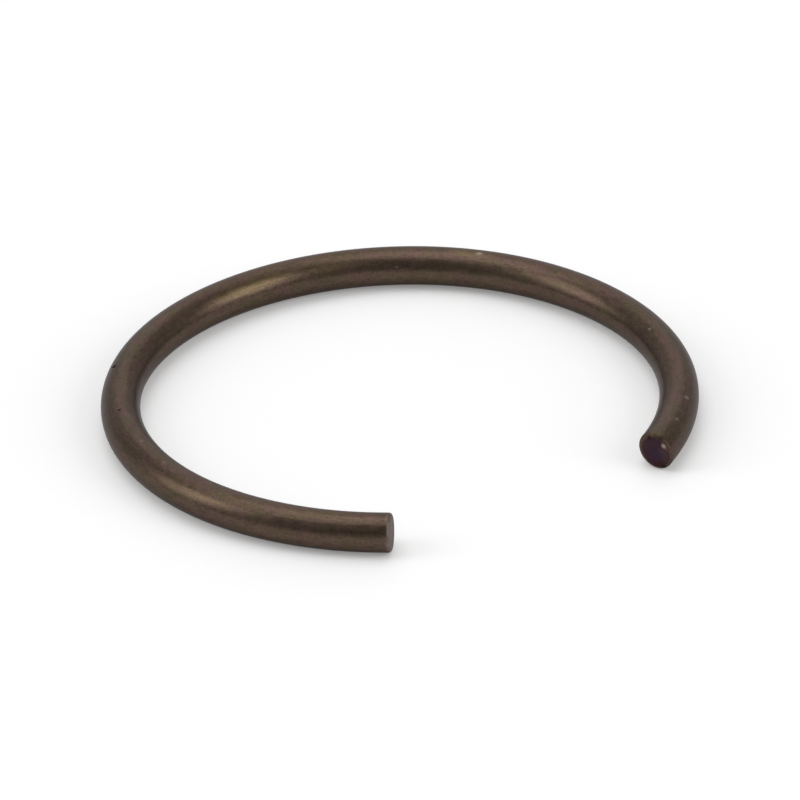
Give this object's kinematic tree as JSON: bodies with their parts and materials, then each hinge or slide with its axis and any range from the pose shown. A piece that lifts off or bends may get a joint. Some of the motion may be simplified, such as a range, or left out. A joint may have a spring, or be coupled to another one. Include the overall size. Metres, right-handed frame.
{
  "type": "round wire retaining ring",
  "caption": "Open spring ring of round wire that snaps into a groove inside a bore and keeps a pin, shaft or bearing from sliding out.",
  "frame": {"origin": "centre of the main arc, halfway up the wire, which is the centre of the groove that the ring snaps into", "axes": "+Z along the axis of the bore, square to the plane of the ring; the gap between the cut ends faces -Y, and the line across it lies along X with the long eased end on the +X side"},
  "size_m": [0.0301, 0.028, 0.002],
  "materials": {
    "spring_steel": "dark brown oil-tempered and phosphated spring wire, half-gloss, with sheared ends that are dull grey-brown on one end and purple from heat on the other"
  },
  "bodies": {
    "root": {"retaining_ring": "spring_steel"}
  },
  "joints": []
}
